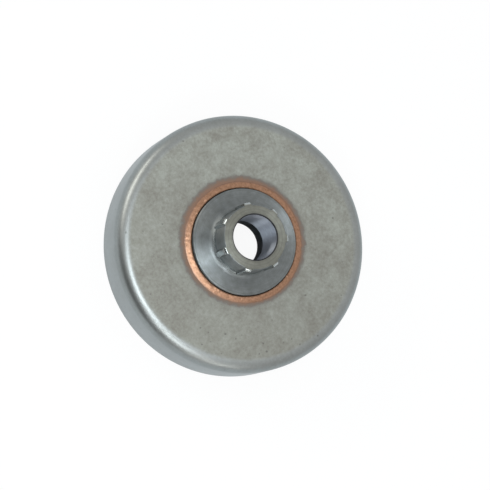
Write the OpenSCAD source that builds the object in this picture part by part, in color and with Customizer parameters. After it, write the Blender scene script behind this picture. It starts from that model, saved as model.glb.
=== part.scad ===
// Clutch drum for a chainsaw: a drawn steel cup with a turned and splined hub
// that is furnace brazed to the outside of its face.
// The drum stands on its open rim. The origin is the centre of the rim's plane,
// +Z runs along the bore towards the hub's nose, and one rib points along -Y.

/* [Cup] */
// Outer diameter of the cup
drum_d = 81.5; // [80:0.5:84]
// Height of the cup, from the open rim to the outside of the face
cup_h = 17.2; // [16.4:0.1:20]
// Thickness of the face
web_t = 2.5; // [2:0.1:2.8]
// Diameter of the band inside the wall that the clutch shoes rub on
shoe_band_d = 76.5; // [75:0.5:77]
// Depth of that turned band, from the rim
shoe_band_depth = 12.6; // [10:0.1:12.8]
// How deep the band is turned into the drawn wall
turning_depth = 0.2; // [0.1:0.05:0.3]
// Radius round the outside corner
corner_r = 4.2; // [3:0.1:4.6]
// Radius in the inside corner
inner_corner_r = 1.6; // [1:0.1:1.8]
// Chamfer on both edges of the rim
rim_chamfer = 0.4; // [0.2:0.1:0.7]

/* [Hub] */
// Diameter of the flange that is brazed to the face
flange_d = 33.6; // [30:0.2:36]
// Thickness of the flange
flange_t = 1.2; // [1:0.1:2]
// Chamfer on the flange's upper edge
flange_chamfer = 0.2; // [0.1:0.05:0.4]
// Height of the splined boss above the flange
boss_h = 10.6; // [8:0.1:14]
// Diameter of the boss between its ribs
boss_d = 20.2; // [19:0.1:20.6]
// Chamfer round the nose of the boss
boss_chamfer = 0.3; // [0.1:0.1:0.5]
// Radius of the fillet between the boss and the flange
root_r = 1.9; // [1:0.1:2.4]
// Diameter of the pilot that goes through the face
pilot_d = 20; // [18:0.2:20.4]
// Length of the pilot below the flange
pilot_l = 9.4; // [6:0.1:11]
// Chamfer round the end of the pilot
pilot_chamfer = 0.6; // [0.2:0.1:1]

/* [Spline] */
// Number of ribs that drive the sprocket
rib_count = 7; // [6:1:8]
// Diameter over the ribs
rib_d = 22; // [21.2:0.1:22.6]
// Width of a rib at its land
rib_land_w = 1.9; // [1.4:0.1:2.4]
// Width of a rib where it leaves the boss
rib_root_w = 2.6; // [2.4:0.1:3.4]
// Gap between the flange and the foot of a rib
rib_foot_gap = 0.75; // [0.4:0.05:1.5]
// Chamfer on the front end of a rib
rib_nose = 0.6; // [0.2:0.1:0.9]

/* [Bore] */
// Diameter of the ground bore that the needle cage runs in
bore_d = 14; // [13:0.1:14.2]
// Depth of the ground bore, from the nose of the boss
bore_depth = 14.2; // [10:0.1:16]
// Diameter of the relief behind the ground bore
relief_d = 14.6; // [14.4:0.1:15.4]
// Chamfer at the mouth of the bore
mouth_chamfer = 0.4; // [0.2:0.1:0.6]

/* [Braze] */
// Thickness of the filler film in the joint
film_t = 0.08; // [0.06:0.01:0.12]
// Width of the bead round the flange
bead_w = 2.6; // [1.6:0.1:3.2]
// Height of the bead above the face
bead_h = 0.45; // [0.3:0.05:0.8]
// Height at which the bead meets the flange's wall
crevice_h = 0.14; // [0.13:0.01:0.3]
// Leg of the meniscus between the pilot and the inside of the face
meniscus_leg = 1; // [0.5:0.1:1.4]

/* [Hidden] */
$fn = 180;
// Radii and heights, from the rim's plane
drum_r = drum_d / 2;
shoe_band_r = shoe_band_d / 2;
drawn_r = shoe_band_r - turning_depth;
web_z = cup_h - web_t;
flange_r = flange_d / 2;
flange_z = cup_h + film_t;
flange_top_z = flange_z + flange_t;
boss_r = boss_d / 2;
nose_z = flange_top_z + boss_h;
pilot_r = pilot_d / 2;
pilot_end_z = flange_z - pilot_l;
web_hole_r = pilot_r + film_t;
rib_r = rib_d / 2;
rib_foot_z = flange_top_z + rib_foot_gap;
bore_r = bore_d / 2;
relief_r = relief_d / 2;
relief_z = nose_z - bore_depth;
// Direction of the first rib, in degrees from +X
first_rib_angle = -90;
// Steps along the section of the bead and of the meniscus
bead_steps = 14;
meniscus_steps = 6;
// Contact shape of the meniscus: how far its centre lies beyond its leg
meniscus_reach = 1.15;
// How far a rib's section runs inside the boss, to join it
rib_overlap = 0.6;

// A rectangle in the section plane, from its inner lower corner to its outer upper corner
module section_box(r0, z0, r1, z1) {
    translate([r0, z0]) square([r1 - r0, z1 - z0]);
}

// What a chamfer takes off the corner at (r, z). The signs say which way the metal lies.
module corner_cut(r, z, c, r_sign, z_sign) {
    polygon([[r, z], [r + r_sign * c, z], [r, z + z_sign * c]]);
}

// Section of a drawn cup: a block with its outer upper corner rounded
module rounded_block(r, z, corner) {
    section_box(0, 0, r - corner, z);
    section_box(0, 0, r, z - corner);
    translate([r - corner, z - corner]) circle(r = corner);
}

// The drawn cup, turned inside its wall and bored for the hub's pilot
module drum_cup() {
    color([0.56, 0.57, 0.54])
    rotate_extrude()
    difference() {
        intersection() {
            rounded_block(drum_r, cup_h, corner_r);
            section_box(0, 0, drum_r, cup_h);
        }
        intersection() {
            rounded_block(drawn_r, web_z, inner_corner_r);
            section_box(0, -1, drawn_r, web_z);
        }
        section_box(0, -1, drawn_r, web_z / 2);
        section_box(0, -1, shoe_band_r, shoe_band_depth);
        section_box(0, 0, web_hole_r, cup_h + 1);
        corner_cut(shoe_band_r, 0, rim_chamfer, 1, 1);
        corner_cut(drum_r, 0, rim_chamfer, -1, 1);
    }
}

// Section of the hub without its ribs: pilot, flange, root fillet and boss round the bore
module hub_section() {
    difference() {
        union() {
            section_box(0, pilot_end_z, pilot_r, flange_z);
            section_box(0, flange_z, flange_r, flange_top_z);
            section_box(0, flange_z, boss_r, nose_z);
            difference() {
                section_box(boss_r, flange_top_z, boss_r + root_r, flange_top_z + root_r);
                translate([boss_r + root_r, flange_top_z + root_r]) circle(r = root_r);
            }
        }
        section_box(0, relief_z, bore_r, nose_z + 1);
        section_box(0, pilot_end_z - 1, relief_r, relief_z);
        corner_cut(bore_r, nose_z, mouth_chamfer, 1, -1);
        corner_cut(relief_r, pilot_end_z, mouth_chamfer, 1, 1);
        corner_cut(boss_r, nose_z, boss_chamfer, -1, -1);
        corner_cut(flange_r, flange_top_z, flange_chamfer, -1, -1);
        corner_cut(pilot_r, pilot_end_z, pilot_chamfer, -1, 1);
    }
}

// Outline of one rib, seen along the bore: straight flanks that lean in towards the land
module rib_outline() {
    lean = (rib_root_w - rib_land_w) / 2 / (rib_r - boss_r);
    inner_r = boss_r - rib_overlap;
    inner_w = rib_root_w / 2 + lean * rib_overlap;
    polygon([[inner_r, -inner_w], [rib_r + 1, -rib_land_w / 2 + lean],
             [rib_r + 1, rib_land_w / 2 - lean], [inner_r, inner_w]]);
}

// The envelope that rounds the ribs' lands and chamfers their front ends
module rib_envelope() {
    rotate_extrude()
    polygon([[0, rib_foot_z], [rib_r, rib_foot_z], [rib_r, nose_z - rib_nose],
             [rib_r - rib_nose, nose_z], [0, nose_z]]);
}

// The ribs that the rim sprocket slides on
module ribs() {
    intersection() {
        for (i = [0 : rib_count - 1])
            rotate([0, 0, first_rib_angle + i * 360 / rib_count])
            translate([0, 0, rib_foot_z])
            linear_extrude(height = nose_z - rib_foot_z)
            rib_outline();
        rib_envelope();
    }
}

// The turned and splined hub
module hub() {
    color([0.50, 0.52, 0.50]) {
        rotate_extrude() hub_section();
        ribs();
    }
}

// A point on the bead's surface, for s from 0 at the flange to 1 on the face:
// steep against the flange, flat where the filler wets the face
function bead_point(s) =
    [flange_r + bead_w * s * s, cup_h + bead_h * sin(180 * s) + crevice_h * (1 - s)];

// A point on the meniscus, for s from 0 on the inside of the face to 1 on the pilot
function meniscus_point(s) =
    let (centre = meniscus_reach * meniscus_leg,
         short_side = centre - meniscus_leg,
         edge_angle = atan2(short_side, centre),
         angle = 90 + edge_angle + s * (90 - 2 * edge_angle),
         arc_r = norm([centre, short_side]))
    [pilot_r + centre + arc_r * cos(angle), web_z - centre + arc_r * sin(angle)];

// The copper filler: a bead round the flange, the film in the joint, and the meniscus inside
module braze_ring() {
    color([0.72, 0.45, 0.30])
    rotate_extrude()
    polygon([for (i = [0 : bead_steps]) bead_point(i / bead_steps),
             [web_hole_r, cup_h],
             [web_hole_r, web_z],
             for (i = [0 : meniscus_steps]) meniscus_point(i / meniscus_steps),
             [pilot_r, flange_z],
             [flange_r, flange_z]]);
}

drum_cup();
hub();
braze_ring();
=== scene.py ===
import math

import bmesh
import bpy
from mathutils import Matrix, Vector, noise


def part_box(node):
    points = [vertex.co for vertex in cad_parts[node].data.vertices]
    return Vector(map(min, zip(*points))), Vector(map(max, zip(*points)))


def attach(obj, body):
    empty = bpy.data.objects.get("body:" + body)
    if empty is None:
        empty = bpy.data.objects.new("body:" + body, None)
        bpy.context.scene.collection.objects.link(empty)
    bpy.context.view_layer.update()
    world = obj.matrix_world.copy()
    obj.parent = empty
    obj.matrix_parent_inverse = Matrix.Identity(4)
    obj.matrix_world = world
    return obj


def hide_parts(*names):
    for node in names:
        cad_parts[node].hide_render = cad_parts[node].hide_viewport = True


# The looks of a chainsaw clutch drum: a drawn steel cup, a turned and splined hub,
# and the copper bead of the furnace-brazed joint between them.

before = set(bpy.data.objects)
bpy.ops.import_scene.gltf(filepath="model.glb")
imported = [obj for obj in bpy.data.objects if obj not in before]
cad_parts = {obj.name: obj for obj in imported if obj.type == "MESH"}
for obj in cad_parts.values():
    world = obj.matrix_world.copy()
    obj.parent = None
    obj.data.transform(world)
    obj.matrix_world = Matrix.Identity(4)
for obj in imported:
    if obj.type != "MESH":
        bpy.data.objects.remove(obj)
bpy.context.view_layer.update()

MM = 0.001

# Sizes that the frame gives
CUP_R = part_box("drum_cup")[1].x
FACE_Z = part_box("drum_cup")[1].z
FLANGE_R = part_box("hub")[1].x
NOSE_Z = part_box("hub")[1].z
PILOT_END_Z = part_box("hub")[0].z
BEAD_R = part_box("braze_ring")[1].x

# Sizes of the cup that its box doesn't give
WEB_Z = FACE_Z - 2.5 * MM
SHOE_BAND_R = 38.25 * MM
DRAWN_R = 38.05 * MM
BAND_DEPTH = 12.6 * MM
CORNER_R = 4.2 * MM
INNER_CORNER_R = 1.6 * MM
RIM_CHAMFER = 0.4 * MM

# Sizes of the hub
FILM_T = 0.08 * MM
FLANGE_T = 1.2 * MM
FLANGE_EDGE = 0.35 * MM
BOSS_R = 10.1 * MM
NOSE_EDGE = 0.4 * MM
ROOT_R = 1.9 * MM
PILOT_R = 10 * MM
PILOT_CHAMFER = 0.6 * MM
BORE_R = 7 * MM
RELIEF_R = 7.3 * MM
BORE_DEPTH = 14.2 * MM
MOUTH_CHAMFER = 0.4 * MM
FLANGE_Z = FACE_Z + FILM_T
FLANGE_TOP_Z = FLANGE_Z + FLANGE_T
RELIEF_Z = NOSE_Z - BORE_DEPTH

# Sizes of the ribs
RIB_COUNT = 7
RIB_R = 11 * MM
RIB_LAND_W = 1.9 * MM
RIB_ROOT_W = 2.6 * MM
RIB_FOOT_GAP = 0.75 * MM
RIB_NOSE = 0.6 * MM
RIB_EDGE = 0.25 * MM
RIB_OVERLAP = 0.6 * MM
FIRST_RIB = math.radians(-90)

# Sizes of the copper filler
BEAD_H = 0.45 * MM
CREVICE_H = 0.14 * MM
MENISCUS_LEG = 1 * MM
MENISCUS_REACH = 1.15

# Steps round the axis, and along the arcs of a section
TURN_STEPS = 320
BEAD_TURN_STEPS = 720
ARC_STEPS = 14
BEAD_STEPS = 22
MENISCUS_STEPS = 6

# The camera, as the photograph was taken. Pixels are of a picture of 490 by 490.
PHOTO_SIDE = 490
SENSOR_W = 36
CAMERA_DISTANCE = 696 * MM
CAMERA_TILT = math.radians(19.26)
CAMERA_SIDE = math.radians(-92.4)
CAMERA_ROLL = math.radians(22.87)
PIXELS_PER_METRE = 3132
RIM_CENTRE_PIXEL = (227.4, 249.1)

# The side of the face without painted shade, where the halo's middle is, and how far off the lamps stand
SHADE_FREE_SIDE = math.radians(132.6)
HALO_CENTRE = (-0.45 * MM, -0.15 * MM, 0)
LAMP_DISTANCE = 0.9


def per_mm(size):
    """The texture scale that makes a pattern's grain this many millimetres wide."""
    return 1 / (size * MM)


def linear(code):
    """A colour written as sRGB hex, as linear RGBA."""
    channels = [int(code[i:i + 2], 16) / 255 for i in (1, 3, 5)]
    return [c / 12.92 if c <= 0.04045 else ((c + 0.055) / 1.055) ** 2.4 for c in channels] + [1]


def add_node(tree, kind, settings=None, inputs=None):
    """Adds a node with its settings, and a value or a link on each input that is named."""
    new = tree.nodes.new(kind)
    for name, value in (settings or {}).items():
        setattr(new, name, value)
    for key, value in (inputs or {}).items():
        if isinstance(value, bpy.types.NodeSocket):
            tree.links.new(value, new.inputs[key])
        else:
            new.inputs[key].default_value = value
    return new


def new_material(name):
    """A material with an empty node tree."""
    material = bpy.data.materials.new(name)
    material.use_nodes = True
    material.node_tree.nodes.clear()
    return material, material.node_tree


# Modelling


def pick(piece, test):
    """Selects the vertices, in edit mode, whose place passes the test."""
    mesh = bmesh.from_edit_mesh(piece.data)
    for vertex in mesh.verts:
        vertex.select_set(bool(test(vertex.co)))
    mesh.select_flush_mode()
    bmesh.update_edit_mesh(piece.data)


def draw_section(name, corners):
    """Draws a closed half section in the XZ plane, by extruding one vertex from corner to corner."""
    bpy.ops.object.select_all(action="DESELECT")
    bpy.ops.mesh.primitive_plane_add(size=MM)
    piece = bpy.context.object
    piece.name = name
    bpy.ops.object.mode_set(mode="EDIT")
    bpy.ops.mesh.select_mode(type="VERT")
    bpy.ops.mesh.merge(type="CENTER")
    points = [Vector((radius, 0, height)) for radius, height in corners]
    bpy.ops.transform.translate(value=points[0])
    for here, there in zip(points, points[1:]):
        bpy.ops.mesh.extrude_vertices_move(TRANSFORM_OT_translate={"value": there - here})
    ends = (points[0], points[-1])
    pick(piece, lambda co: min((co - end).length for end in ends) < MM / 1000)
    bpy.ops.mesh.edge_face_add()
    return piece


def round_corner(piece, corner, size, segments):
    """Rounds one corner of a drawn section, or chamfers it where there is one segment."""
    place = Vector((corner[0], 0, corner[1]))
    pick(piece, lambda co: (co - place).length < MM / 1000)
    bpy.ops.mesh.bevel(offset=size, segments=segments, affect="VERTICES", profile=0.5)


def turn(piece, steps):
    """Spins the drawn section round the bore axis into a closed solid."""
    bpy.ops.mesh.select_all(action="SELECT")
    bpy.ops.mesh.spin(steps=steps, angle=math.tau, center=(0, 0, 0), axis=(0, 0, 1))
    bpy.ops.mesh.select_all(action="SELECT")
    bpy.ops.mesh.remove_doubles(threshold=MM / 10000)
    bpy.ops.mesh.normals_make_consistent(inside=False)
    bpy.ops.object.mode_set(mode="OBJECT")


def apply_modifier(piece, kind, name, **settings):
    """Adds a modifier with its settings and applies it."""
    modifier = piece.modifiers.new(name, kind)
    for key, value in settings.items():
        setattr(modifier, key, value)
    bpy.context.view_layer.objects.active = piece
    bpy.ops.object.modifier_apply(modifier=name)


def smooth(piece, angle):
    """Shades a piece smooth, with edges sharper than the angle left sharp."""
    bpy.ops.object.select_all(action="DESELECT")
    piece.select_set(True)
    bpy.context.view_layer.objects.active = piece
    bpy.ops.object.shade_smooth_by_angle(angle=math.radians(angle))


def model_cup():
    """The drawn cup: its section is turned, with the band that the shoes rub on inside the wall."""
    hole_r = PILOT_R + FILM_T
    face_corner = (CUP_R, FACE_Z)
    rim_outside = (CUP_R, 0)
    rim_inside = (SHOE_BAND_R, 0)
    band_end = (DRAWN_R, BAND_DEPTH)
    web_corner = (DRAWN_R, WEB_Z)
    cup = draw_section("cup", [
        (hole_r, WEB_Z), (hole_r, FACE_Z), face_corner, rim_outside,
        rim_inside, (SHOE_BAND_R, BAND_DEPTH), band_end, web_corner,
    ])
    round_corner(cup, face_corner, CORNER_R, ARC_STEPS)
    round_corner(cup, web_corner, INNER_CORNER_R, ARC_STEPS // 2)
    round_corner(cup, rim_outside, RIM_CHAMFER, 3)
    round_corner(cup, rim_inside, RIM_CHAMFER, 1)
    turn(cup, TURN_STEPS)
    smooth(cup, 30)
    return cup


def model_hub_body():
    """The hub without its ribs: pilot, flange, root fillet and boss, round the stepped bore."""
    nose_inside = (BORE_R, NOSE_Z)
    nose_outside = (BOSS_R, NOSE_Z)
    root = (BOSS_R, FLANGE_TOP_Z)
    flange_edge = (FLANGE_R, FLANGE_TOP_Z)
    pilot_outside = (PILOT_R, PILOT_END_Z)
    pilot_inside = (RELIEF_R, PILOT_END_Z)
    body = draw_section("splined_hub", [
        pilot_inside, (RELIEF_R, RELIEF_Z), (BORE_R, RELIEF_Z), nose_inside, nose_outside,
        root, flange_edge, (FLANGE_R, FLANGE_Z), (PILOT_R, FLANGE_Z), pilot_outside,
    ])
    round_corner(body, nose_inside, MOUTH_CHAMFER, 1)
    round_corner(body, nose_outside, NOSE_EDGE, 5)
    round_corner(body, root, ROOT_R, ARC_STEPS)
    round_corner(body, flange_edge, FLANGE_EDGE, 4)
    round_corner(body, pilot_outside, PILOT_CHAMFER, 1)
    round_corner(body, pilot_inside, MOUTH_CHAMFER, 1)
    turn(body, TURN_STEPS)
    return body


def model_rib():
    """One rib along +X: a bar with leaning flanks, a chamfered nose and broken edges."""
    foot_z = FLANGE_TOP_Z + RIB_FOOT_GAP
    inner_r = BOSS_R - RIB_OVERLAP
    length = NOSE_Z - foot_z
    bpy.ops.object.select_all(action="DESELECT")
    bpy.ops.mesh.primitive_cube_add(size=1)
    rib = bpy.context.object
    bpy.ops.object.mode_set(mode="EDIT")
    bpy.ops.transform.resize(value=(RIB_R - inner_r, RIB_ROOT_W, length))
    bpy.ops.transform.translate(value=((RIB_R + inner_r) / 2, 0, foot_z + length / 2))
    pick(rib, lambda co: co.x > RIB_R - MM / 100)
    bpy.ops.transform.resize(value=(1, RIB_LAND_W / RIB_ROOT_W, 1), center_override=(0, 0, 0))
    pick(rib, lambda co: co.x > RIB_R - MM / 100 and co.z > NOSE_Z - MM / 100)
    bpy.ops.mesh.bevel(offset=RIB_NOSE, segments=1, affect="EDGES")
    pick(rib, lambda co: co.x > BOSS_R)
    bpy.ops.mesh.bevel(offset=RIB_EDGE, segments=3, affect="EDGES")
    bpy.ops.mesh.select_all(action="SELECT")
    bpy.ops.mesh.normals_make_consistent(inside=False)
    bpy.ops.object.mode_set(mode="OBJECT")
    return rib


def copy_turned(piece, angle):
    """A copy of a piece with its own mesh, turned round the bore axis."""
    copy = piece.copy()
    copy.data = piece.data.copy()
    bpy.context.collection.objects.link(copy)
    copy.data.transform(Matrix.Rotation(angle, 4, "Z"))
    return copy


def model_hub():
    """The hub: the turned body with its ribs joined on."""
    body = model_hub_body()
    rib = model_rib()
    ribs = [copy_turned(rib, FIRST_RIB + i * math.tau / RIB_COUNT) for i in range(RIB_COUNT)]
    bpy.data.objects.remove(rib)
    for rib in ribs:
        apply_modifier(body, "BOOLEAN", "join_rib", operation="UNION", solver="EXACT", object=rib)
        bpy.data.objects.remove(rib)
    smooth(body, 24)
    return body


def bead_point(s):
    """A point of the bead's section, for s from 0 at the flange to 1 on the face."""
    radius = FLANGE_R + (BEAD_R - FLANGE_R) * s * s
    return radius, FACE_Z + BEAD_H * math.sin(math.pi * s) + CREVICE_H * (1 - s)


def meniscus_point(s):
    """A point of the meniscus inside the cup, for s from 0 on the web to 1 on the pilot."""
    centre = MENISCUS_REACH * MENISCUS_LEG
    edge_angle = math.atan2(centre - MENISCUS_LEG, centre)
    angle = math.pi / 2 + edge_angle + s * (math.pi / 2 - 2 * edge_angle)
    arc_r = math.hypot(centre, centre - MENISCUS_LEG)
    return PILOT_R + centre + arc_r * math.cos(angle), WEB_Z - centre + arc_r * math.sin(angle)


def ripple(direction, bumps, seed):
    """Smooth noise from -1 to 1 round the axis, with about this many bumps."""
    spread = bumps / math.tau * 2
    return noise.noise(Vector((direction.x * spread, direction.y * spread, seed)))


def model_braze():
    """The copper filler, turned and then given the uneven edge and lumps of copper that has run."""
    hole_r = PILOT_R + FILM_T
    corners = [bead_point(i / BEAD_STEPS) for i in range(BEAD_STEPS + 1)]
    corners += [(hole_r, FACE_Z), (hole_r, WEB_Z)]
    corners += [meniscus_point(i / MENISCUS_STEPS) for i in range(MENISCUS_STEPS + 1)]
    corners += [(PILOT_R, FLANGE_Z), (FLANGE_R, FLANGE_Z)]
    braze = draw_section("braze", corners)
    turn(braze, BEAD_TURN_STEPS)
    width = BEAD_R - FLANGE_R
    for vertex in braze.data.vertices:
        place = vertex.co
        flat = Vector((place.x, place.y, 0))
        reach = (flat.length - FLANGE_R) / width
        if place.z < FACE_Z - MM / 100 or reach <= 0:
            continue
        direction = flat.normalized()
        edge = 0.16 * MM * ripple(direction, 9, 1) + 0.12 * MM * ripple(direction, 40, 2) - 0.2 * MM
        lump = noise.noise(place * per_mm(0.9)) + 0.6 * noise.noise(place * per_mm(0.4))
        height = place.z - FACE_Z
        vertex.co += direction * edge * reach
        vertex.co.z -= height * (0.16 + 0.14 * lump)
    smooth(braze, 50)
    return braze


# Materials


def steel_coordinates(tree):
    """Object coordinates and the distance from the bore axis."""
    coordinates = add_node(tree, "ShaderNodeTexCoord").outputs["Object"]
    flat = add_node(tree, "ShaderNodeVectorMath", {"operation": "MULTIPLY"}, {0: coordinates, 1: (1, 1, 0)})
    radius = add_node(tree, "ShaderNodeVectorMath", {"operation": "LENGTH"}, {0: flat.outputs[0]})
    return coordinates, radius.outputs["Value"]


def drawn_steel():
    """Deep-drawn mild steel, tumbled and furnace heated: a matt mottled face, a corner rubbed bright."""
    material, tree = new_material("drawn_steel_tumbled")
    coordinates, radius = steel_coordinates(tree)
    # Cloudy tone in patches, under a finer tumbled grain
    patches = add_node(tree, "ShaderNodeTexNoise", None, {
        "Vector": coordinates, "Scale": per_mm(7), "Detail": 5, "Roughness": 0.7})
    grain = add_node(tree, "ShaderNodeTexNoise", None, {
        "Vector": coordinates, "Scale": per_mm(0.8), "Detail": 3, "Roughness": 0.65})
    clouds = add_node(tree, "ShaderNodeMath", {"operation": "MULTIPLY_ADD"}, {
        0: patches.outputs["Fac"], 1: 1.1, 2: grain.outputs["Fac"]})
    tone = add_node(tree, "ShaderNodeMapRange", None, {
        "Value": clouds.outputs[0], "From Min": 0.75, "From Max": 1.35})
    face = add_node(tree, "ShaderNodeMix", {"data_type": "RGBA"}, {
        "Factor": tone.outputs[0], "A": linear("#83827B"), "B": linear("#A1A59E")})
    # Painted shade: the face is made a little darker towards one side, as the light falls
    shade_way = Vector((math.cos(SHADE_FREE_SIDE), math.sin(SHADE_FREE_SIDE), 0))
    along = add_node(tree, "ShaderNodeVectorMath", {"operation": "DOT_PRODUCT"}, {
        0: coordinates, 1: shade_way})
    face_shade = add_node(tree, "ShaderNodeMapRange", None, {
        "Value": along.outputs["Value"], "From Min": -CUP_R, "From Max": CUP_R, "To Min": 0.3, "To Max": 0})
    shaded_face = add_node(tree, "ShaderNodeMix", {"data_type": "RGBA"}, {
        "Factor": face_shade.outputs[0], "A": face.outputs["Result"], "B": linear("#6B665E")})
    # The corner and the wall are rubbed smoother and cleaner than the face
    rubbed = add_node(tree, "ShaderNodeMapRange", {"interpolation_type": "SMOOTHSTEP"}, {
        "Value": radius, "From Min": 36 * MM, "From Max": 37.6 * MM})
    wall = add_node(tree, "ShaderNodeMix", {"data_type": "RGBA"}, {
        "Factor": tone.outputs[0], "A": linear("#8B8E8C"), "B": linear("#979B9A")})
    body = add_node(tree, "ShaderNodeMix", {"data_type": "RGBA"}, {
        "Factor": rubbed.outputs[0], "A": shaded_face.outputs["Result"], "B": wall.outputs["Result"]})
    # Small dark specks, in a few of the cells of a Voronoi pattern
    cells = add_node(tree, "ShaderNodeTexVoronoi", None, {
        "Vector": coordinates, "Scale": per_mm(2.6)})
    chance = add_node(tree, "ShaderNodeSeparateColor", None, {"Color": cells.outputs["Color"]})
    size = add_node(tree, "ShaderNodeMapRange", None, {
        "Value": chance.outputs[0], "From Min": 0.6, "From Max": 1, "To Min": 0, "To Max": 0.14})
    ragged = add_node(tree, "ShaderNodeMath", {"operation": "MULTIPLY_ADD"}, {
        0: grain.outputs["Fac"], 1: 0.12, 2: cells.outputs["Distance"]})
    inside = add_node(tree, "ShaderNodeMath", {"operation": "SUBTRACT"}, {
        0: ragged.outputs[0], 1: size.outputs[0]})
    speck = add_node(tree, "ShaderNodeMapRange", None, {
        "Value": inside.outputs[0], "From Min": 0.02, "From Max": 0.1, "To Min": 0.5, "To Max": 0})
    specked = add_node(tree, "ShaderNodeMix", {"data_type": "RGBA"}, {
        "Factor": speck.outputs[0], "A": body.outputs["Result"], "B": linear("#4A4844")})
    # Heat tint and copper bleed round the joint, off centre and with an uneven outline
    moved = add_node(tree, "ShaderNodeVectorMath", {"operation": "SUBTRACT"}, {
        0: coordinates, 1: HALO_CENTRE})
    level = add_node(tree, "ShaderNodeVectorMath", {"operation": "MULTIPLY"}, {
        0: moved.outputs[0], 1: (1, 1, 0)})
    reach = add_node(tree, "ShaderNodeVectorMath", {"operation": "LENGTH"}, {0: level.outputs[0]})
    wander = add_node(tree, "ShaderNodeTexNoise", None, {
        "Vector": coordinates, "Scale": per_mm(1.6), "Detail": 5, "Roughness": 0.8})
    shift = add_node(tree, "ShaderNodeMath", {"operation": "MULTIPLY_ADD"}, {
        0: wander.outputs["Fac"], 1: -3.4 * MM, 2: reach.outputs["Value"]})
    halo = add_node(tree, "ShaderNodeMapRange", None, {
        "Value": shift.outputs[0], "From Min": 17.5 * MM, "From Max": 19.7 * MM})
    stain = add_node(tree, "ShaderNodeValToRGB", None, {"Fac": halo.outputs[0]})
    stops = [(0, "#866C5D"), (0.3, "#7C6E64"), (0.6, "#75716C"), (1, "#868681")]
    for place, code in stops[1:-1]:
        stain.color_ramp.elements.new(place)
    for stop, (place, code) in zip(stain.color_ramp.elements, stops):
        stop.color = linear(code)
    cover = add_node(tree, "ShaderNodeMapRange", {"interpolation_type": "SMOOTHSTEP"}, {
        "Value": halo.outputs[0], "From Min": 0.45, "From Max": 1, "To Min": 1, "To Max": 0})
    stained = add_node(tree, "ShaderNodeMix", {"data_type": "RGBA"}, {
        "Factor": cover.outputs[0], "A": specked.outputs["Result"], "B": stain.outputs["Color"]})
    dullness = add_node(tree, "ShaderNodeMapRange", None, {
        "Value": rubbed.outputs[0], "To Min": 0.54, "To Max": 0.4})
    bump = add_node(tree, "ShaderNodeBump", None, {
        "Strength": 0.2, "Distance": 0.03 * MM, "Height": grain.outputs["Fac"]})
    shader = add_node(tree, "ShaderNodeBsdfPrincipled", None, {
        "Base Color": stained.outputs["Result"], "Metallic": 1, "Roughness": dullness.outputs[0],
        "Normal": bump.outputs["Normal"]})
    add_node(tree, "ShaderNodeOutputMaterial", None, {"Surface": shader.outputs[0]})
    return material


def machined_steel(name, dark, light, roughness, anisotropy):
    """Steel cut on a lathe: fine rings round the axis, which draw each light out across them."""
    material, tree = new_material(name)
    coordinates, radius = steel_coordinates(tree)
    height = add_node(tree, "ShaderNodeSeparateXYZ", None, {"Vector": coordinates})
    rings = add_node(tree, "ShaderNodeCombineXYZ", None, {"X": radius, "Y": height.outputs["Z"]})
    marks = add_node(tree, "ShaderNodeTexNoise", None, {
        "Vector": rings.outputs[0], "Scale": per_mm(0.5), "Detail": 3, "Roughness": 0.7})
    cloud = add_node(tree, "ShaderNodeTexNoise", None, {
        "Vector": coordinates, "Scale": per_mm(1.8), "Detail": 4, "Roughness": 0.65})
    mixed = add_node(tree, "ShaderNodeMath", {"operation": "MULTIPLY"}, {
        0: marks.outputs["Fac"], 1: cloud.outputs["Fac"]})
    tone = add_node(tree, "ShaderNodeMapRange", None, {
        "Value": mixed.outputs[0], "From Min": 0.12, "From Max": 0.4})
    colour = add_node(tree, "ShaderNodeMix", {"data_type": "RGBA"}, {
        "Factor": tone.outputs[0], "A": linear(dark), "B": linear(light)})
    bump = add_node(tree, "ShaderNodeBump", None, {
        "Strength": 0.2, "Distance": 0.01 * MM, "Height": marks.outputs["Fac"]})
    tangent = add_node(tree, "ShaderNodeTangent", {"direction_type": "RADIAL", "axis": "Z"})
    shader = add_node(tree, "ShaderNodeBsdfPrincipled", None, {
        "Base Color": colour.outputs["Result"], "Metallic": 1, "Roughness": roughness,
        "Anisotropic": anisotropy, "Anisotropic Rotation": 0.25,
        "Tangent": tangent.outputs[0], "Normal": bump.outputs["Normal"]})
    add_node(tree, "ShaderNodeOutputMaterial", None, {"Surface": shader.outputs[0]})
    return material


def near_black_steel():
    """Unground steel painted near-black, in the relief behind the bore and on the bore's mouth chamfer."""
    material, tree = new_material("near_black_steel")
    coordinates, radius = steel_coordinates(tree)
    cloud = add_node(tree, "ShaderNodeTexNoise", None, {
        "Vector": coordinates, "Scale": per_mm(1.2), "Detail": 4})
    colour = add_node(tree, "ShaderNodeMix", {"data_type": "RGBA"}, {
        "Factor": cloud.outputs["Fac"], "A": linear("#101113"), "B": linear("#25272A")})
    shader = add_node(tree, "ShaderNodeBsdfPrincipled", None, {
        "Base Color": colour.outputs["Result"], "Roughness": 0.6})
    add_node(tree, "ShaderNodeOutputMaterial", None, {"Surface": shader.outputs[0]})
    return material


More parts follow.
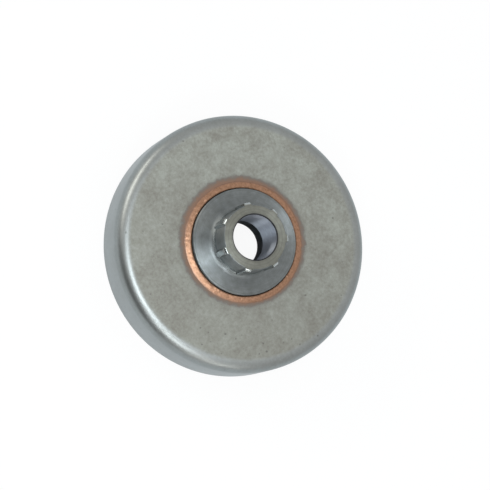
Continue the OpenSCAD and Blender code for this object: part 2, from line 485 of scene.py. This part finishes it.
def brazed_copper():
    """Copper filler that has run and set in the furnace: grainy, brown copper, with painted shade in the
    crevice.
    """
    material, tree = new_material("brazed_copper")
    coordinates, radius = steel_coordinates(tree)
    cloud = add_node(tree, "ShaderNodeTexNoise", None, {
        "Vector": coordinates, "Scale": per_mm(0.8), "Detail": 5, "Roughness": 0.75})
    tone = add_node(tree, "ShaderNodeMapRange", None, {
        "Value": cloud.outputs["Fac"], "From Min": 0.32, "From Max": 0.68})
    copper = add_node(tree, "ShaderNodeMix", {"data_type": "RGBA"}, {
        "Factor": tone.outputs[0], "A": linear("#866750"), "B": linear("#B08870")})
    # Painted shade darkens the crevice by the flange, and the thin outer edge is tinted brown
    crevice_shade = add_node(tree, "ShaderNodeMapRange", {"interpolation_type": "SMOOTHSTEP"}, {
        "Value": radius, "From Min": FLANGE_R + 0.05 * MM, "From Max": FLANGE_R + 0.85 * MM,
        "To Min": 1, "To Max": 0})
    crevice_shaded = add_node(tree, "ShaderNodeMix", {"data_type": "RGBA"}, {
        "Factor": crevice_shade.outputs[0], "A": copper.outputs["Result"], "B": linear("#2A201A")})
    outer = add_node(tree, "ShaderNodeMapRange", {"interpolation_type": "SMOOTHSTEP"}, {
        "Value": radius, "From Min": 18.6 * MM, "From Max": 19.3 * MM})
    edged = add_node(tree, "ShaderNodeMix", {"data_type": "RGBA"}, {
        "Factor": outer.outputs[0], "A": crevice_shaded.outputs["Result"], "B": linear("#80685A")})
    bump = add_node(tree, "ShaderNodeBump", None, {
        "Strength": 0.6, "Distance": 0.06 * MM, "Height": cloud.outputs["Fac"]})
    shader = add_node(tree, "ShaderNodeBsdfPrincipled", None, {
        "Base Color": edged.outputs["Result"], "Metallic": 1, "Roughness": 0.4,
        "Normal": bump.outputs["Normal"]})
    add_node(tree, "ShaderNodeOutputMaterial", None, {"Surface": shader.outputs[0]})
    return material


def dress_hub(hub):
    """Gives each face of the hub its material by place: turned, faced, ground or near-black, and on the ribs
    a painted highlight or painted shade.
    """
    finishes = [
        # Turned: bluish, with a bow tie of light on the flange
        machined_steel("turned_steel", "#747877", "#8D9293", 0.42, 0.9),
        # Faced, and then rubbed by the sprocket's washer: duller than the flange
        machined_steel("faced_steel_nose", "#6E6F68", "#86877F", 0.5, 0.6),
        # Lands and front ends, which face outward: smoother, and painted lighter as a painted highlight
        machined_steel("rib_lands_painted_highlight", "#9FA4A4", "#C0C5C4", 0.24, 0),
        # Ground bore: smooth and bluish, with marks that run round it
        machined_steel("ground_steel_bore", "#8E939C", "#A6ACB5", 0.5, 1),
        # Flanks, which face sideways: painted darker as painted shade
        machined_steel("rib_flanks_painted_shade", "#5E6160", "#757977", 0.4, 0),
        near_black_steel(),
    ]
    for material in finishes:
        hub.data.materials.append(material)
    for face in hub.data.polygons:
        outward = Vector((face.center.x, face.center.y, 0))
        radius = outward.length
        if radius < RELIEF_R + MM / 100 and face.center.z < RELIEF_Z:
            face.material_index = 5
        elif radius < BORE_R + MM / 100:
            face.material_index = 3
        elif radius < BORE_R + MOUTH_CHAMFER:
            face.material_index = 5
        elif face.center.z > NOSE_Z - MM / 50:
            face.material_index = 1
        elif radius > BOSS_R + MM / 50 and face.center.z > FLANGE_TOP_Z + RIB_FOOT_GAP:
            # Rib faces that turn sideways get the painted shade, the others the painted highlight
            across = abs(face.normal.dot(outward.cross(Vector((0, 0, 1))).normalized()))
            face.material_index = 2 if across < 0.6 else 4


# Stage, light and camera


def seen_by(tree, *rays):
    """1 for the kinds of ray that are named, and 0 for all others."""
    path = add_node(tree, "ShaderNodeLightPath")
    total = path.outputs[rays[0]]
    for ray in rays[1:]:
        total = add_node(tree, "ShaderNodeMath", {"operation": "MAXIMUM"}, {
            0: total, 1: path.outputs[ray]}).outputs[0]
    return total


def toward(side, elevation):
    """The direction at an angle round from the camera's side, and at a height above the horizon."""
    level = math.cos(elevation)
    angle = CAMERA_SIDE + side
    return Vector((level * math.cos(angle), level * math.sin(angle), math.sin(elevation)))


def add_floor():
    """A pale floor under the rim. The camera sees it nearly white, with the drum's shadow kept."""
    bpy.ops.object.select_all(action="DESELECT")
    bpy.ops.mesh.primitive_plane_add(size=6)
    floor = bpy.context.object
    floor.name = "floor"
    material, tree = new_material("pale_floor")
    paint = add_node(tree, "ShaderNodeBsdfDiffuse", None, {"Color": linear("#E6E8EA")})
    white = add_node(tree, "ShaderNodeMix", {"data_type": "RGBA"}, {
        "Factor": seen_by(tree, "Is Glossy Ray"), "A": (1, 1, 1, 1), "B": (0.9, 0.96, 1, 1)})
    glow = add_node(tree, "ShaderNodeEmission", None, {"Color": white.outputs["Result"], "Strength": 1})
    # Metal sees the white floor too, but not under the cup, where no light falls
    coordinates, radius = steel_coordinates(tree)
    open_floor = add_node(tree, "ShaderNodeMath", {"operation": "GREATER_THAN"}, {0: radius, 1: SHOE_BAND_R})
    # Painted shade on the floor's glow: the metal sees it dimmer toward the camera's side
    near = add_node(tree, "ShaderNodeVectorMath", {"operation": "DOT_PRODUCT"}, {
        0: coordinates, 1: toward(0, 0)})
    glow_painted_shade = add_node(tree, "ShaderNodeMapRange", {"interpolation_type": "SMOOTHSTEP"}, {
        "Value": near.outputs["Value"], "From Min": 35 * MM, "From Max": 90 * MM, "To Min": 1, "To Max": 0.3})
    lit = add_node(tree, "ShaderNodeMath", {"operation": "MULTIPLY"}, {
        0: open_floor.outputs[0], 1: glow_painted_shade.outputs[0]})
    mirrored = add_node(tree, "ShaderNodeMath", {"operation": "MULTIPLY"}, {
        0: seen_by(tree, "Is Glossy Ray"), 1: lit.outputs[0]})
    seen = add_node(tree, "ShaderNodeMath", {"operation": "MAXIMUM"}, {
        0: mirrored.outputs[0], 1: seen_by(tree, "Is Camera Ray", "Is Transmission Ray")})
    share = add_node(tree, "ShaderNodeMath", {"operation": "MULTIPLY"}, {0: seen.outputs[0], 1: 0.92})
    mix = add_node(tree, "ShaderNodeMixShader", None, {
        0: share.outputs[0], 1: paint.outputs[0], 2: glow.outputs[0]})
    add_node(tree, "ShaderNodeOutputMaterial", None, {"Surface": mix.outputs[0]})
    floor.data.materials.append(material)


def add_world():
    """A soft pale room, brighter overhead and darker low down on the camera's side."""
    world = bpy.data.worlds.new("soft_room")
    bpy.context.scene.world = world
    world.use_nodes = True
    tree = world.node_tree
    tree.nodes.clear()
    direction = add_node(tree, "ShaderNodeTexCoord").outputs["Generated"]
    height = add_node(tree, "ShaderNodeSeparateXYZ", None, {"Vector": direction})
    overhead = add_node(tree, "ShaderNodeMapRange", None, {
        "Value": height.outputs["Z"], "From Min": 0, "From Max": 1, "To Min": 0.5, "To Max": 0.84})
    behind = add_node(tree, "ShaderNodeVectorMath", {"operation": "DOT_PRODUCT"}, {
        0: direction, 1: toward(math.pi, 0)})
    far_side = add_node(tree, "ShaderNodeMapRange", None, {
        "Value": behind.outputs["Value"], "From Min": 0, "From Max": 1, "To Min": 0, "To Max": 0.24})
    room = add_node(tree, "ShaderNodeMath", {"operation": "ADD"}, {
        0: overhead.outputs[0], 1: far_side.outputs[0]})
    facing = add_node(tree, "ShaderNodeVectorMath", {"operation": "DOT_PRODUCT"}, {
        0: direction, 1: toward(0, math.radians(10))})
    dark = add_node(tree, "ShaderNodeMapRange", {"interpolation_type": "SMOOTHSTEP"}, {
        "Value": facing.outputs["Value"], "From Min": 0.74, "From Max": 0.93, "To Min": 1, "To Max": 0.08})
    level = add_node(tree, "ShaderNodeMath", {"operation": "MULTIPLY"}, {
        0: room.outputs[0], 1: dark.outputs[0]})
    strength = add_node(tree, "ShaderNodeMix", {"data_type": "FLOAT"}, {
        "Factor": seen_by(tree, "Is Camera Ray", "Is Transmission Ray"), "A": level.outputs[0], "B": 1.0})
    light = add_node(tree, "ShaderNodeBackground", None, {
        "Color": (1, 1, 1, 1), "Strength": strength.outputs["Result"]})
    add_node(tree, "ShaderNodeOutputWorld", None, {"Surface": light.outputs[0]})


def add_softbox(name, side, elevation, width, height, power, colour):
    """An area lamp that faces the drum, as wide and as high as the angles that it fills."""
    way = toward(math.radians(side), math.radians(elevation))
    lamp = bpy.data.lights.new(name, "AREA")
    lamp.shape = "ELLIPSE"
    lamp.size = 2 * LAMP_DISTANCE * math.tan(math.radians(width / 2))
    lamp.size_y = 2 * LAMP_DISTANCE * math.tan(math.radians(height / 2))
    lamp.energy = power
    lamp.color = colour
    softbox = bpy.data.objects.new(name, lamp)
    bpy.context.collection.objects.link(softbox)
    aim = way.to_track_quat("Z", "Y").to_matrix().to_4x4()
    softbox.matrix_world = Matrix.Translation(way * LAMP_DISTANCE) @ aim


def add_camera():
    """The camera of the photograph: tilted from the axis, rolled, and aimed by the rim centre's pixel."""
    side = Vector((math.cos(CAMERA_SIDE), math.sin(CAMERA_SIDE), 0))
    up_axis = Vector((0, 0, 1))
    back = side * math.sin(CAMERA_TILT) + up_axis * math.cos(CAMERA_TILT)
    lean = -side * math.cos(CAMERA_TILT) + up_axis * math.sin(CAMERA_TILT)
    across = back.cross(lean)
    right = lean * math.cos(CAMERA_ROLL) - across * math.sin(CAMERA_ROLL)
    up = lean * math.sin(CAMERA_ROLL) + across * math.cos(CAMERA_ROLL)
    off_x = (PHOTO_SIDE / 2 - RIM_CENTRE_PIXEL[0]) / PIXELS_PER_METRE
    off_y = (RIM_CENTRE_PIXEL[1] - PHOTO_SIDE / 2) / PIXELS_PER_METRE
    place = back * CAMERA_DISTANCE + right * off_x + up * off_y
    data = bpy.data.cameras.new("camera")
    data.sensor_width = SENSOR_W
    data.lens = SENSOR_W * PIXELS_PER_METRE * CAMERA_DISTANCE / PHOTO_SIDE
    data.clip_start = 0.01
    camera = bpy.data.objects.new("camera", data)
    bpy.context.collection.objects.link(camera)
    turn_matrix = Matrix((right, up, back)).transposed().to_4x4()
    camera.matrix_world = Matrix.Translation(place) @ turn_matrix
    bpy.context.scene.camera = camera


cup = model_cup()
cup.data.materials.append(drawn_steel())
hub = model_hub()
dress_hub(hub)
braze = model_braze()
braze.data.materials.append(brazed_copper())

for piece, node, slot in [
    (cup, "drum_cup", "cup_steel"),
    (hub, "hub", "hub_steel"),
    (braze, "braze_ring", "braze_copper"),
]:
    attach(piece, "root")
    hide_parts(node)

add_floor()
add_world()
add_softbox("key", 3, 73.3, 19, 19, 2.8, (0.88, 0.95, 1))
add_softbox("strip_left", -64, 25, 38, 7, 2, (1, 0.97, 0.9))
add_softbox("high_right", 44, 50, 13, 16, 1.4, (0.94, 0.98, 1))
add_softbox("strip_right", 68, 22, 26, 8, 0.7, (1, 0.98, 0.94))
add_camera()
bpy.context.scene.view_settings.view_transform = "Standard"
